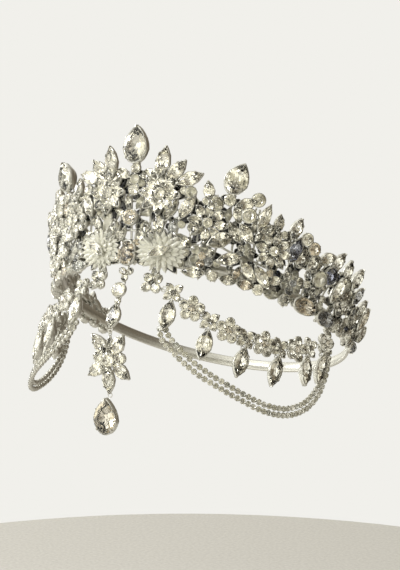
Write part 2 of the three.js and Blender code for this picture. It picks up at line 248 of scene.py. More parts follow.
crystal = machineCutCrystal()
foil = silverFoil()
opal = milkyOpalGlass()
silver = silverPlatedBrass("silver plated brass", "shade", "silver")
# the machine-made chain's cups are painted a shade greyer than the other silver: painted shade for the dark
# between the chain's stones
chainSilverPaintedShade = silverPlatedBrass("silver plate on brass with painted shade", "chainShade", "chainSilverPaintedShade")
print("materials made")

# Patterns of the stones and of their cups: one unit long and wide, scaled to size where they are set
cuts = {
    # outline, points round it, table's share, crown height, pavilion depth, claws, their half width, rim
    "navette": ("navette", 12, 0.46, 0.24, 0.44, (0, 2, 4, 6, 8, 10), 0.055, 1.08),
    "navetteWide": ("navette", 18, 0.5, 0.17, 0.37, (0, 3, 6, 9, 12, 15), 0.045, 1.07),
    "oval": ("oval", 20, 0.56, 0.17, 0.38, (2, 5, 8, 12, 15, 18), 0.04, 1.07),
    "pear": ("pear", 21, 0.52, 0.17, 0.38, (0, 4, 8, 13, 17), 0.035, 1.06),
    "petal": ("oval", 10, 0.55, 0.2, 0.4, (0, 3, 5, 8), 0.06, 1.08),
    "round": ("oval", 8, 0.55, 0.24, 0.45, (1, 3, 5, 7), 0.07, 1.1),
    "sliver": ("navette", 8, 0.44, 0.26, 0.46, (0, 2, 4, 6), 0.06, 1.09),
    "blade": ("navette", 8, 0.44, 0.17, 0.28, (0, 4), 0.07, 1.06),
}
cutNames = sorted(cuts)
cupFloor = 0.09  # the metal under a stone's point, in stone widths
outlines = {
    "navetteFullness": 1.9,
    "pearShoulder": -0.14,  # above it the pear runs to its point
    "pearFullness": 0.82,
    "betweenReach": 1.04,
}


def outlineOf(kind, steps):
    # Goes round from the top, half a unit either way
    points = []
    for i in range(steps):
        turn = 2 * math.pi * i / steps
        x, y = math.sin(turn) / 2, math.cos(turn) / 2
        if kind == "navette":
            x = math.copysign(0.5, x) * (1 - abs(2 * y) ** outlines["navetteFullness"])
        elif kind == "pear" and y > outlines["pearShoulder"]:
            along = (0.5 - y) / (0.5 - outlines["pearShoulder"])  # from the point down to the shoulders
            x = math.copysign(0.5, x) * math.sin(math.pi / 2 * along ** outlines["pearFullness"]) if i else 0
        points.append((x, y))
    return points


def ring(points, share, level, between=False):
    # between sets the corners over the middles of the outline's edges
    placed = []
    for i, (x, y) in enumerate(points):
        if between:
            nextX, nextY = points[(i + 1) % len(points)]
            x, y = (x + nextX) / 2 * outlines["betweenReach"], (y + nextY) / 2 * outlines["betweenReach"]
        placed.append((x * share, y * share, level))
    return placed


def joinRings(rings, steps):
    # rings listed from the top down, closed by a face at each end
    points = [p for one in rings for p in one]
    faces = [tuple(range(steps)), tuple((len(rings) - 1) * steps + i for i in range(steps))]
    for r in range(len(rings) - 1):
        for i in range(steps):
            j = (i + 1) % steps
            faces.append((r * steps + i, r * steps + j, (r + 1) * steps + j, (r + 1) * steps + i))
    return points, faces


def stonePattern(name):
    kind, steps, table, crown, pavilion = cuts[name][:5]
    outline = outlineOf(kind, steps)
    rings = [ring(outline, *row) for row in (
        # share of the outline, level, between: from the table down to the culet
        (table, crown), (0.8, crown * 0.6, True), (1, 0.03), (1, 0), (0.62, -pavilion * 0.5, True),
        (0.14, -pavilion))]
    points = [p for one in rings for p in one]
    top, star, upper, girdle, lower, culet = (r * steps for r in range(6))
    faces = [(tuple(top + i for i in range(steps)), False), (tuple(culet + i for i in range(steps)), True)]
    for i in range(steps):
        j, before = (i + 1) % steps, (i - 1) % steps
        faces += [((upper + i, upper + j, star + i), False), ((upper + i, star + i, star + before), False),
                  ((star + before, star + i, top + i), False), ((star + i, top + j, top + i), False),
                  ((girdle + i, girdle + j, upper + j, upper + i), False),
                  ((girdle + i, girdle + j, lower + i), True),
                  ((girdle + i, lower + i, lower + before), True),
                  ((lower + before, lower + i, culet + i), True), ((lower + i, culet + j, culet + i), True)]
    mesh = newMesh(name, points, [face for face, _ in faces])
    mesh.attributes.new("foil", "BOOLEAN", "FACE").data.foreach_set("value", [back for _, back in faces])
    tidyNormals(mesh)
    return mesh


def cupPattern(name):
    kind, steps, _, crown, pavilion, claws, clawWidth, rim = cuts[name]
    outline = outlineOf(kind, steps)
    rings = [ring(outline, *row) for row in (
        # share of the outline, level: up the inside, over the rim and down the outside
        (0.1, -pavilion - 0.03), (0.62, -pavilion * 0.62), (0.98, 0), (rim, -0.02), (rim, -pavilion * 0.6),
        (0.7, -pavilion - cupFloor))]
    clawRows = (
        # share of the outline, level, share of the width: foot outside and inside, bend, tip
        (rim + 0.01, -0.1, 1), (0.99, -0.1, 1), (rim - 0.02, 0.07, 0.9), (0.87, crown * 0.65, 0.6))
    points, faces = joinRings(rings, steps)
    smooth = len(faces)
    for i in claws:
        x, y = outline[i]
        (xA, yA), (xB, yB) = outline[i - 1], outline[(i + 1) % steps]
        along = Vector((xB - xA, yB - yA)).normalized() * clawWidth
        first = len(points)
        for share, level, width in clawRows:
            for step in (-1, 1):
                points.append((x * share + step * width * along.x, y * share + step * width * along.y, level))
        a, b, c, d, e, f, g, h = range(first, first + 8)
        faces += [(a, b, d, c), (a, b, f, e), (e, f, h, g), (g, h, d, c), (a, c, g, e), (b, d, h, f)]
    mesh = newMesh(name, points, faces)
    mesh.polygons.foreach_set("use_smooth", [2 <= i < smooth for i in range(len(faces))])
    tidyNormals(mesh)
    return mesh


def patternCollection(name, makePattern):
    collection = bpy.data.collections.new(name)
    bpy.context.scene.collection.children.link(collection)
    for i, cut in enumerate(cutNames):
        collection.objects.link(bpy.data.objects.new(f"{name}{i}", makePattern(cut)))
    return collection


stonePatterns = patternCollection("stonePattern", stonePattern)
cupPatterns = patternCollection("cupPattern", cupPattern)


def newTree(name, inputs, attributes=None):
    # given holds the tree's inputs and the attributes that it reads
    tree = bpy.data.node_groups.new(name, "GeometryNodeTree")
    tree.interface.new_socket("Geometry", in_out="INPUT", socket_type="NodeSocketGeometry")
    for label, kind in inputs.items():
        tree.interface.new_socket(label, in_out="INPUT", socket_type=f"NodeSocket{kind}")
    tree.interface.new_socket("Geometry", in_out="OUTPUT", socket_type="NodeSocketGeometry")
    given = dict(addNode(tree, "NodeGroupInput", {}).outputs.items())
    for label, kind in (attributes or {}).items():
        given[label] = addNode(tree, "GeometryNodeInputNamedAttribute", {"data_type": kind, "Name": label})
    return tree, given, addNode(tree, "NodeGroupOutput", {})


def endTree(tree, given, result, made, *labels):
    # Every tree ends as real geometry with its materials set, the back's only on the foiled faces
    last = addNode(tree, "GeometryNodeRealizeInstances", {0: made})
    for label in labels:
        chosen = {"Selection": given["foil"]} if label == "Back" else {}
        last = addNode(tree, "GeometryNodeSetMaterial", {
            "Geometry": last, "Material": given[label], **chosen})
    tree.links.new(last.outputs[0], result.inputs[0])
    return tree


def endStones(tree, given, result, placed):
    # Handwork: every stone sits slightly out of true
    least = addNode(tree, "ShaderNodeMath", {"operation": "MULTIPLY", 1: -1, 0: given["Wobble"]})
    chance = addNode(tree, "FunctionNodeRandomValue", {
        "data_type": "FLOAT_VECTOR", 0: least, 1: given["Wobble"], "Seed": given["Seed"]})
    tilted = addNode(tree, "GeometryNodeRotateInstances", {
        "Local Space": True, "Instances": placed, "Rotation": chance})
    return endTree(tree, given, result, tilted, "Front", "Back")


stoneInputs = {"Wobble": "Float", "Seed": "Int", "Front": "Material", "Back": "Material"}


def placeTree():
    # Sets a pattern on every point, turned and stretched as the point says
    tree, given, result = newTree("stones in their places", {"Pattern": "Collection", **stoneInputs}, {
        "turn": "QUATERNION", "stretch": "FLOAT_VECTOR", "cut": "INT", "foil": "BOOLEAN"})
    patterns = addNode(tree, "GeometryNodeCollectionInfo", {
        "Separate Children": True, "Reset Children": True, "Collection": given["Pattern"]})
    placed = addNode(tree, "GeometryNodeInstanceOnPoints", {
        "Pick Instance": True, "Points": given["Geometry"], "Instance": patterns,
        "Instance Index": given["cut"], "Rotation": given["turn"], "Scale": given["stretch"]})
    return endStones(tree, given, result, placed)


def chainTree():
    # Follows a line and sets one pattern at every pitch, its face to the outside
    tree, given, result = newTree("cup chain along its route", {
        "Pattern": "Object", "Pitch": "Float", "Size": "Float", **stoneInputs}, {
            "outward": "FLOAT_VECTOR", "foil": "BOOLEAN"})
    line = addNode(tree, "GeometryNodeMeshToCurve", {0: given["Geometry"]})
    points = addNode(tree, "GeometryNodeResampleCurve", {"mode": "LENGTH", 0: line, 3: given["Pitch"]})
    along = addNode(tree, "GeometryNodeInputTangent", {})
    facing = addNode(tree, "FunctionNodeAlignRotationToVector", {"axis": "Z", "Vector": given["outward"]})
    turned = addNode(tree, "FunctionNodeAlignRotationToVector", {
        "axis": "Y", "pivot_axis": "Z", "Rotation": facing, "Vector": along})
    pattern = addNode(tree, "GeometryNodeObjectInfo", {"Object": given["Pattern"]})
    placed = addNode(tree, "GeometryNodeInstanceOnPoints", {
        "Points": points, "Instance": pattern.outputs["Geometry"], "Rotation": turned,
        "Scale": given["Size"]})
    return endStones(tree, given, result, placed)


def wireTree():
    # Draws a round wire along every line of a mesh
    tree, given, result = newTree("soldered wires", {"Radius": "Float", "Sides": "Int", "Metal": "Material"})
    line = addNode(tree, "GeometryNodeMeshToCurve", {0: given["Geometry"]})
    section = addNode(tree, "GeometryNodeCurvePrimitiveCircle", {
        "Resolution": given["Sides"], "Radius": given["Radius"]})
    wire = addNode(tree, "GeometryNodeCurveToMesh", {
        "Fill Caps": True, "Curve": line, "Profile Curve": section})
    return endTree(tree, given, result, wire, "Metal")


def ringTree():
    # Puts a round ring of wire on every point
    tree, given, result = newTree("jump rings", {"Radius": "Float", "Wire": "Float", "Metal": "Material"}, {
        "turn": "QUATERNION"})
    circle = addNode(tree, "GeometryNodeCurvePrimitiveCircle", {"Resolution": 16, "Radius": given["Radius"]})
    section = addNode(tree, "GeometryNodeCurvePrimitiveCircle", {"Resolution": 6, "Radius": given["Wire"]})
    bent = addNode(tree, "GeometryNodeCurveToMesh", {"Curve": circle, "Profile Curve": section})
    placed = addNode(tree, "GeometryNodeInstanceOnPoints", {
        "Points": given["Geometry"], "Instance": bent, "Rotation": given["turn"]})
    return endTree(tree, given, result, placed, "Metal")


stonesInPlaces = placeTree()
chainAlongRoute = chainTree()
solderedWires = wireTree()
jumpRings = ringTree()


def madeMesh(name, mesh, tree, values, kept=()):
    # The tree's result on a mesh, as a plain mesh with only the kept attributes
    carrier = newObject(name + "Carrier", mesh)
    modifier = carrier.modifiers.new("make", "NODES")
    modifier.node_group = tree
    for item in tree.interface.items_tree:
        if item.in_out == "INPUT" and item.name in values:
            modifier[item.identifier] = values[item.name]
    graph = bpy.context.evaluated_depsgraph_get()
    made = bpy.data.meshes.new_from_object(
        carrier.evaluated_get(graph), preserve_all_data_layers=True, depsgraph=graph)
    carrier.modifiers.remove(modifier)
    bpy.data.objects.remove(carrier)
    made.name = name
    for label in [a.name for a in made.attributes if not a.is_internal and not a.is_required]:
        if label not in (*kept, "material_index", "sharp_face", "sharp_edge"):
            made.attributes.remove(made.attributes[label])
    return made


# How dark or warm a stone's foil is, and how many in a hundred of the small stones are of each; 'shadow' is
# painted shade, a near-black foil for the dark gaps between the stones
tints = {"shadow": 0.0, "smoke": 0.2, "grey": 0.4, "frost": 0.54, "clear": 0.7, "champagne": 1.0}
smallStoneTints = {"clear": 56, "frost": 26, "grey": 10, "champagne": 8}
tintSpread = 0.08
tintChoices = random.Random(11)


def stoneAt(cut, matrix, length, width, tint=None):
    # The back of the cup stands at the matrix's origin; a stone without a tint draws one
    if tint is None:
        tint = tintChoices.choices(list(smallStoneTints), list(smallStoneTints.values()))[0]
    spread = tintChoices.uniform(0, tintSpread)
    return {"cut": cutNames.index(cut), "place": matrix @ shift(0, 0, (cuts[cut][4] + cupFloor) * width),
            "stretch": (width * mm, length * mm, width * mm),
            "tint": tints[tint] + (spread if tint in ("smoke", "shadow") else -spread)}


def setOnPoints(mesh, name, kind, values):
    field = "vector" if kind == "FLOAT_VECTOR" else "value"
    mesh.attributes.new(name, kind, "POINT").data.foreach_set(field, values)


def placesMesh(name, places):
    mesh = newMesh(name, [p.translation for p in places])
    setOnPoints(mesh, "turn", "QUATERNION", [c for p in places for c in p.to_quaternion()])
    return mesh


def addPiece(name, mesh, body, slot, replaced=()):
    piece = newObject(name, mesh)
    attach(piece, body)
    if replaced:
        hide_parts(*replaced)


def stonesAndCups(name, mesh, tree, patterns, glassy, plating, values):
    # The same places filled twice: with the stones, and with the cups that hold them
    for part, pattern, front, back, kept in (("_stones", patterns[0], glassy, foil, ("tint",)),
                                             ("_cups", patterns[1], plating, plating, ())):
        looks = {"Pattern": pattern, "Front": front, "Back": back}
        yield madeMesh(name + part, mesh, tree, {**looks, **values}, kept)


def addStones(node, stones, body="crown", wobble=5, seed=1, slot="clear_stone", replaced=None,
              glassy=crystal):
    mesh = placesMesh(node, [s["place"] for s in stones])
    setOnPoints(mesh, "stretch", "FLOAT_VECTOR", [c for s in stones for c in s["stretch"]])
    setOnPoints(mesh, "cut", "INT", [s["cut"] for s in stones])
    setOnPoints(mesh, "tint", "FLOAT", [s["tint"] for s in stones])
    values = {"Wobble": math.radians(wobble), "Seed": seed}
    patterns = (stonePatterns, cupPatterns)
    stonesMesh, cupsMesh = stonesAndCups(node, mesh, stonesInPlaces, patterns, glassy, silver, values)
    addPiece(node + "_stones", stonesMesh, body, slot, (node,) if replaced is None else replaced)
    addPiece(node + "_cups", cupsMesh, body, "silver")


def addStone(node, cut, place, length, width, tint="clear", **settings):
    addStones(node, [stoneAt(cut, place, length, width, tint)], **settings)


def addWires(name, lines, body="crown", radius=0.4, slot="silver"):
    points, edges = [], []
    for line in lines:
        edges += [(len(points) + i, len(points) + i + 1) for i in range(len(line) - 1)]
        points += line
    made = madeMesh(name, newMesh(name, points, edges=edges), solderedWires,
                    {"Radius": radius * mm, "Sides": 6, "Metal": silver})
    addPiece(name, made, body, slot)


def addRings(name, places, body="crown", radius=1.1, wire=0.28):
    made = madeMesh(name, placesMesh(name, places), jumpRings,
                    {"Radius": radius * mm, "Wire": wire * mm, "Metal": silver})
    addPiece(name, made, body, "silver")


# The wall's chart, for the wearer's left half; the right half mirrors it
topLine = ((0, 45), (9, 44), (17, 40), (22, 34), (30, 41), (35, 36), (40, 36), (46, 31), (53, 31),
           (60, 27), (72, 25), (83, 24), (91, 16), (101, 13), (108, 7))
wallOpenings = (
    # angle, height, spin, length, width
    (0, 29, 0, 6, 2.6), (0, 14, 60, 6, 4), (6.2, 20.8, -60, 7, 3), (15.4, 28.4, 25, 11, 2.6),
    (19, 18.2, 85, 9, 3.4), (21, 37, 0, 5, 3), (22.6, 3.8, 90, 4, 2.4), (32.6, 13.6, 75, 10, 4),
    (33.6, 3.4, 60, 6, 3), (41.6, 18.4, 90, 4.5, 3), (42.2, 3.6, 130, 8, 2.6), (45.6, 11, 140, 6, 2.4),
    (52.2, 13.2, 0, 4, 3), (62, 5.4, 70, 9, 4), (61, 12.6, 60, 5, 2.4), (76.6, 5.4, 90, 8, 3.4),
    (73, 13, 20, 8, 3.4), (87, 9, 70, 7, 3),
)
wallNavettes = (
    # angle, height, spin, length, width, tint
    (4.4, 43.6, 70, 8, 4.5, "clear"), (8.8, 49.5, 8, 14, 6.5, "clear"), (13.2, 46, 38, 12, 6, "clear"),
    (17.6, 43.2, 66, 12, 6, "clear"), (13.2, 27.5, 25, 12, 5, "clear"), (18.2, 29.5, 25, 12, 5.5, "clear"),
    (7.2, 14, -25, 10, 5, "clear"), (23.8, 39, -15, 9, 5, "clear"), (35.3, 37, 62, 10, 5, "clear"),
    (41.7, 33, 8, 13, 5, "clear"), (37.6, 23.5, -50, 10, 5, "clear"), (43.2, 26.5, 35, 11, 5.5, "clear"),
    (46.6, 33, -8, 8, 4.5, "clear"), (52.4, 33.5, 10, 10, 5.5, "clear"), (30.4, 17.2, 60, 12, 6.5, "clear"),
    (34.6, 9.6, 72, 11, 5.5, "clear"), (41.5, 6.6, 128, 11, 4.5, "clear"), (46.6, 5.8, 128, 12, 5, "clear"),
    (54.2, 23.5, 5, 12, 6, "smoke"), (66.5, 27, 58, 9, 5, "clear"), (71, 27.5, 20, 11, 5.5, "clear"),
    (76, 16.5, 15, 14, 6, "clear"), (77, 27, -8, 10, 5, "clear"), (82.8, 26.5, 15, 11, 5.5, "clear"),
    (87.4, 20, 20, 10, 5, "grey"), (94, 16.5, 10, 10, 5, "clear"), (99, 14, 10, 12, 5.5, "champagne"),
    (106, 9, 22, 10, 5, "clear"),
)
wallRounds = (
    # angle, height, length, width, tint
    (0, 46.2, 4.6, 4.6, None), (0, 40.8, 4.6, 4.6, None), (0, 35.6, 5, 5, None), (0, 22, 7, 7, "champagne"),
    (18.6, 37, 5, 5, None), (21.2, 20.6, 5, 5, None), (5.6, 17.6, 5, 5, "clear"),
    (26.6, 33.6, 6.5, 6.5, "clear"), (30.4, 37, 5, 5, "clear"), (38.5, 40.5, 6, 6, "clear"),
    (37, 32, 6.5, 6.5, None), (57.5, 21, 8, 6, "clear"),
    (62.2, 21.5, 8, 6, None), (60.4, 28, 6, 6, None), (57, 31, 5.5, 5.5, None), (66.4, 16, 7, 7, None),
    (70.2, 20, 8, 6.5, "smoke"),
)
smallFlowers = (
    # angle, height, diameter
    (25.8, 8, 13), (39.4, 14.6, 10), (57.6, 8.6, 13), (68, 9.8, 9), (81.6, 12, 14), (92.6, 11, 12),
    (101.5, 7, 9),
)
border = (
    # cut, angle, height, spin, length, width
    ("navette", 24, -0.4, 88, 12, 5.5), ("round", 30.6, -0.2, 0, 5.5, 5.5), ("navette", 36, -0.2, 90, 9, 5),
    ("navette", 42, -0.2, 90, 9, 5), ("round", 46.8, -0.4, 0, 5.5, 5.5), ("navette", 51.8, -0.2, 90, 9, 5),
    ("round", 57, -0.4, 0, 6, 6), ("round", 83.4, 0, 0, 6, 6), ("navette", 88.8, 0, 90, 9, 5),
    ("round", 94, 0, 0, 6, 6), ("navette", 99.6, 0, 90, 10, 5), ("round", 105.4, 0, 0, 6, 6),
)
setStones = (
    # node, cut, angle, height, spin, length, width, tint
    ("centre_pear_stone", "pear", 0, 57.6, 0, 18, 13, "clear"),
    ("side_pear_stone", "pear", 31, 47.6, 14, 15.6, 11.6, "clear"),
    ("centre_oval_stone", "oval", 0, 4.6, 0, 12, 9.5, "champagne"),
    ("border_oval_front", "oval", 65.4, 0.8, 90, 14, 8, "champagne"),
    ("border_oval_rear", "oval", 76.4, 0.4, 90, 12.5, 7.5, "grey"),
)
mountedFlowers = (
    # node, angle, height, rings of petals (cut, count, radius, length, width, lift, lean), heart, spread
    ("rosette", 12, 6.6, (("blade", 22, 6, 8.6, 3.5, 0, 5), ("blade", 17, 4.6, 7, 3.3, 0.9, 9),
                          ("blade", 10, 3, 4.8, 2.8, 1.7, 16)), ("navette", 11.4, 4.8, 60), 1.4),
    ("upper_flower", 9.2, 34.4, (("navette", 8, 6.6, 9.4, 5.2, 0, 8),), ("petal", 5.6, 5.6, 0), 1),
    ("side_flower", 25.4, 24, (("navette", 8, 6.5, 7.6, 4.4, 0, 8),), ("oval", 4.8, 4.8, 0), 1),
    ("temple_flower", 47.6, 19.6, (("navette", 8, 6.3, 7.4, 4.2, 0, 8),), ("oval", 4.8, 4.8, 0), 1),
)
flowerSetting = {"heartLift": 0.8, "wobble": 4, "seed": 7}
smallFlower = {"petals": 6, "petalWidth": 0.82, "lean": 6, "heartLift": 1.2,
               "petal": 0.42, "distance": 0.3, "heart": 0.3}  # these three in flower diameters
ovalOver = 5.2  # the charted rounds that are broader are ovals
proudness = {"charted": 1.4, "border": 0.4, "smallFlower": 0.8, "setStone": 0.6, "mountedFlower": 1.9}


def topHeight(angle):
    angle = abs(angle)
    for (angleA, heightA), (angleB, heightB) in zip(topLine, topLine[1:]):
        if angle <= angleB:
            return heightA + (heightB - heightA) * (angle - angleA) / (angleB - angleA)
    return 0


def eachSide(node, angle):
    # what stands on the middle line stands there once
    return [(node, 1)] if angle == 0 else [(f"{node}_{side}", sign) for side, sign in sides]


def wallMatrices(angle, height, proud, spin=0):
    return [wallMatrix(sign * angle, height, proud, sign * spin) for _, sign in eachSide("", angle)]


def petalRing(matrix, count, radius, length, width, lift, lean, phase=0, cut="navette", tint=None, spread=1):
    # spread widens the ring sideways into an oval
    stones = []
    for i in range(count):
        turn = 2 * math.pi * (i + phase) / count
        x, y = radius * spread * math.sin(turn), radius * math.cos(turn)
        place = matrix @ shift(x, y, lift) @ Matrix.Rotation(-math.atan2(x, y), 4, "Z")
        stones.append(stoneAt(cut, place @ spun(lean, "X"), length, width, tint))
    return stones


def addFlower(name, matrix, rings, centre, spread, sign):
    # A flower of blades is a rosette: its petals are opal glass, a piece of their own
    petals = []
    settings = {"wobble": flowerSetting["wobble"], "seed": flowerSetting["seed"], "slot": "paved_flower"}
    for i, (cut, *sizes) in enumerate(rings):
        petals += petalRing(matrix, *sizes, 0.5 * (i % 2), cut, "clear", spread)
    cut, length, width, spin = centre
    middle = matrix @ shift(0, 0, rings[-1][5] + flowerSetting["heartLift"])
    heart = [stoneAt(cut, middle @ spun(-sign * spin), length, width, "clear")]
    if rings[0][0] == "blade":
        addStones(name + "_petal", petals, replaced=(), glassy=opal, **settings)
        petals = []
    addStones(name, petals + heart, **settings)


paving = {
    "seed": 5,
    "overlap": 0.45,  # how far neighbouring stones may pass over each other, in millimetres
    "swell": 1.12,  # the charted stones stand over the small ones round them
    "shadowed": 1,  # share of the hindmost stones whose foil is near-black: painted shade for the dark gaps between the stones in front
    "keptClear": {"opening": 1.1, "setStone": 0.9, "flowerPetal": 0.28, "smallFlower": 0.9},  # share of each
    "intoOpening": 0.3,
    "tips": 0.36,  # a stone's radius near its points, in widths
    "round": 0.5,  # a stone whose length passes its width by less than twice this counts as round
    "acrossMiddle": 12,  # how far the two halves look for each other's stones
    "alsoRound": ((0, 22), (0, 4.6), (31, 40)),  # the stones radiate from these too: angle, height
    "heights": (0.6, 45),
    "underTop": 0.25,  # share of a stone's length that stays under the top line
    "layers": (
        # back, share of the stones in front that is kept clear, then the sizes: cut, length, width, tries
        (0.2, 1, (("navette", 11.5, 5.4, 6000), ("navette", 9.4, 4.6, 4000), ("sliver", 7.4, 3.7, 5000),
                  ("round", 3.8, 3.8, 1500))),
        (-1.1, 0.55, (("sliver", 9, 4.6, 3000), ("round", 4.4, 4.4, 3000), ("round", 3, 3, 4000))),
    ),
}


def footprint(angle, height, spin, length, width):
    # Circles that cover a stone's outline, as (millimetres round, height, radius)
    reach = max(length - width, 0) / 2
    count = 1 if reach < paving["round"] else 3
    turn = math.radians(spin)
    circles = []
    for i in range(count):
        step = reach * (2 * i / (count - 1) - 1) if count > 1 else 0
        radius = width * (0.5 if count == 1 or i == 1 else paving["tips"])
        across, up = step * math.sin(turn), step * math.cos(turn)
        circles.append((angle * arcAt(height) + across, height + up, radius))
    return circles


def crosses(circles, others, allowed):
    return any(math.hypot(x - a, y - b) < r + s - allowed for x, y, r in circles for a, b, s in others)


def mirrored(circles):
    # The other half's stones matter only near the middle line
    return circles + [(-x, y, r) for x, y, r in circles if x < paving["acrossMiddle"]]


def chartedCircles():
    clear = paving["keptClear"]
    rows = [row[:5] for row in wallNavettes]
    rows += [(angle, height, 0, length, width) for angle, height, length, width, _ in wallRounds]
    rows += [row[1:] for row in border]
    rows += [(*row[2:6], row[6] * clear["setStone"]) for row in setStones]
    rows += [(angle, height, 0, 1, 2 * (distance + length * clear["flowerPetal"]))
             for _, angle, height, ((_, _, distance, length, *_), *_), *_ in mountedFlowers]
    rows += [(angle, height, 0, 1, diameter * clear["smallFlower"])
             for angle, height, diameter in smallFlowers]
    return mirrored([circle for row in rows for circle in footprint(*row)])


def pavedStones():
    # Fills what the charted stones leave free with small stones that radiate from the flowers
    chance = random.Random(paving["seed"])
    holes = mirrored([circle for *row, width in wallOpenings
                      for circle in footprint(*row, width * paving["keptClear"]["opening"])])
    hearts = [(angle, height) for _, angle, height, *_ in mountedFlowers]
    hearts += [*((angle, height) for angle, height, _ in smallFlowers), *paving["alsoRound"]]
    charted, stones = chartedCircles(), []
    for back, share, sizes in paving["layers"]:
        inFront = [(x, y, r * share) for x, y, r in charted]
        placed = []
        for cut, length, width, tries in sizes:
            for _ in range(tries):
                angle = chance.uniform(0, wall["ends"] - 1)
                height = chance.uniform(*paving["heights"])
                if height > topHeight(angle) - length * paving["underTop"]:
                    continue
                nearest = min(hearts, key=lambda c: math.hypot((c[0] - angle) * arcAt(height), c[1] - height))
                spin = math.degrees(math.atan2((angle - nearest[0]) * arcAt(height), height - nearest[1]))
                circles = footprint(angle, height, spin, length, width)
                if crosses(circles, holes, paving["intoOpening"]):
                    continue
                if crosses(circles, inFront + placed, paving["overlap"]):
                    continue
                placed += mirrored(circles)
                # the hindmost layer's stones get the near-black foil: painted shade for the dark gaps between
                # the stones in front
                dark = back < 0 and chance.random() < paving["shadowed"]
                stones.append((cut, angle, height, back, spin, length, width, "shadow" if dark else None))
        charted = placed
    return stones


def wallStones():
    stones, swell = [], paving["swell"]

    def put(cut, angle, height, back, spin, length, width, tint=None):
        for place in wallMatrices(angle, height, back, spin):
            stones.append(stoneAt(cut, place, length, width, tint))

    back = proudness["charted"]
    for angle, height, spin, length, width, tint in wallNavettes:
        put("navette", angle, height, back, spin, length * swell, width * swell, tint)
    for angle, height, length, width, tint in wallRounds:
        cut = "oval" if width > ovalOver else "petal"
        put(cut, angle, height, back, 0, length * swell, width * swell, tint)
    for cut, angle, height, spin, length, width in border:
        put(cut, angle, height, proudness["border"], spin, length, width)
    for angle, height, diameter in smallFlowers:
        parts, petal = smallFlower, diameter * smallFlower["petal"]
        for place in wallMatrices(angle, height, proudness["smallFlower"]):
            stones += petalRing(place, parts["petals"], diameter * parts["distance"], petal,
                                petal * parts["petalWidth"], 0, parts["lean"], cut="petal")
            middle, heart = place @ shift(0, 0, parts["heartLift"]), diameter * parts["heart"]
            stones.append(stoneAt("round", middle, heart, heart))
    for paved in pavedStones():
        put(*paved)
    return stones


allWallStones = wallStones()
for side, sign in sides:
    half = [stone for stone in allWallStones if stone["place"].translation.x * sign > 0]
    if sign == 1:
        half += [stone for stone in allWallStones if stone["place"].translation.x == 0]
    replaced = ("crown_frame",) if sign == 1 else ()
    addStones("wall_" + side, half, seed=3, slot="paved_silver", replaced=replaced)
    print("wall stones", side, len(half))


def bandMesh():
    # A flat band with rounded edges, all the way round the head
    steps, height, thick, edge = 120, wall["bandHeight"], wall["bandThickness"] / 2, wall["bandEdge"]
    section = [(edge, -thick), (height - edge, -thick), (height, -thick + edge), (height, thick - edge),
               (height - edge, thick), (edge, thick), (0, thick - edge), (0, -thick + edge)]
    points, faces, corners = [], [], len(section)
    for i in range(steps):
        turn = 2 * math.pi * i / steps
        centre = (across * wall["ringHalfWidth"] * math.sin(turn)
                  + forward * wall["ringHalfDepth"] * math.cos(turn))
        outward = (across * wall["ringHalfDepth"] * math.sin(turn)
                   + forward * wall["ringHalfWidth"] * math.cos(turn)).normalized()
        points += [(centre + ringAxis * up + outward * out) * mm for up, out in section]
        for k in range(corners):
            nextRing, nextK = (i + 1) % steps * corners, (k + 1) % corners
            faces.append((i * corners + k, i * corners + nextK, nextRing + nextK, nextRing + k))
    mesh = newMesh("head_band", points, faces)
    mesh.materials.append(silver)
    mesh.polygons.foreach_set("use_smooth", [True] * len(faces))
    tidyNormals(mesh)
    return mesh


wires = {
    "postEvery": 7.2,  # degrees
    "postLean": 3,
    "rails": (0.36, 0.68),  # share of the wall's height
    "topRail": 1.6,  # below the top line
    "proud": -0.3,
    "radius": 0.55,
    "stalk": (3, 1.2),  # how far below the top line it starts, how proud it ends
    "pearStalk": (4, 1),
    "tallShare": 0.3,  # a navette with this share of its length over the top line has a stalk
}


def wallLine(ends, heightAt):
    # A point every two degrees
    return [wallPoint(angle, heightAt(angle), wires["proud"]) for angle in range(-ends, ends + 1, 2)]


def frameWires():
    ends = wall["ends"] - 1
    lines = [wallLine(ends, lambda a: topHeight(a) - wires["topRail"])]
    for share in wires["rails"]:
        lines.append(wallLine(ends, lambda a: topHeight(a) * share))
    count = int(ends / wires["postEvery"])
    for i in range(-count, count + 1):
        angle = i * wires["postEvery"]
        for lean in (-wires["postLean"], wires["postLean"]):
            top = angle + lean
            lines.append([wallPoint(angle + (top - angle) * k / 4, 1 + topHeight(top) * k / 4, wires["proud"])
                          for k in range(5)])
    # the stones that stand over the top line have stalks of their own
    tall = [(angle, height, *wires["stalk"]) for angle, height, _, length, *_ in wallNavettes
            if height + length * wires["tallShare"] > topHeight(angle)]
    tall += [(angle, height, *wires["pearStalk"]) for _, cut, angle, height, *_ in setStones if cut == "pear"]
    for angle, height, below, proud in tall:
        for _, sign in eachSide("", angle):
            lines.append([wallPoint(sign * angle, topHeight(angle) - below, wires["proud"]),
                          wallPoint(sign * angle, height, proud)])
    return lines


addPiece("head_band", bandMesh(), "crown", "silver")
addWires("wall_wires", frameWires(), radius=wires["radius"])
print("band and wires")

for node, cut, angle, height, spin, length, width, tint in setStones:
    for name, sign in eachSide(node, angle):
        place = wallMatrix(sign * angle, height, proudness["setStone"], sign * spin)
        slotName = "champagne_stone" if tint == "champagne" else "clear_stone"
        addStone(name, cut, place, length, width, tint, wobble=0, slot=slotName)
for node, angle, height, rings, centre, spread in mountedFlowers:
    for name, sign in eachSide(node, angle):
        place = wallMatrix(sign * angle, height, proudness["mountedFlower"])
        addFlower(name, place, rings, centre, spread, sign)
print("set stones and flowers")

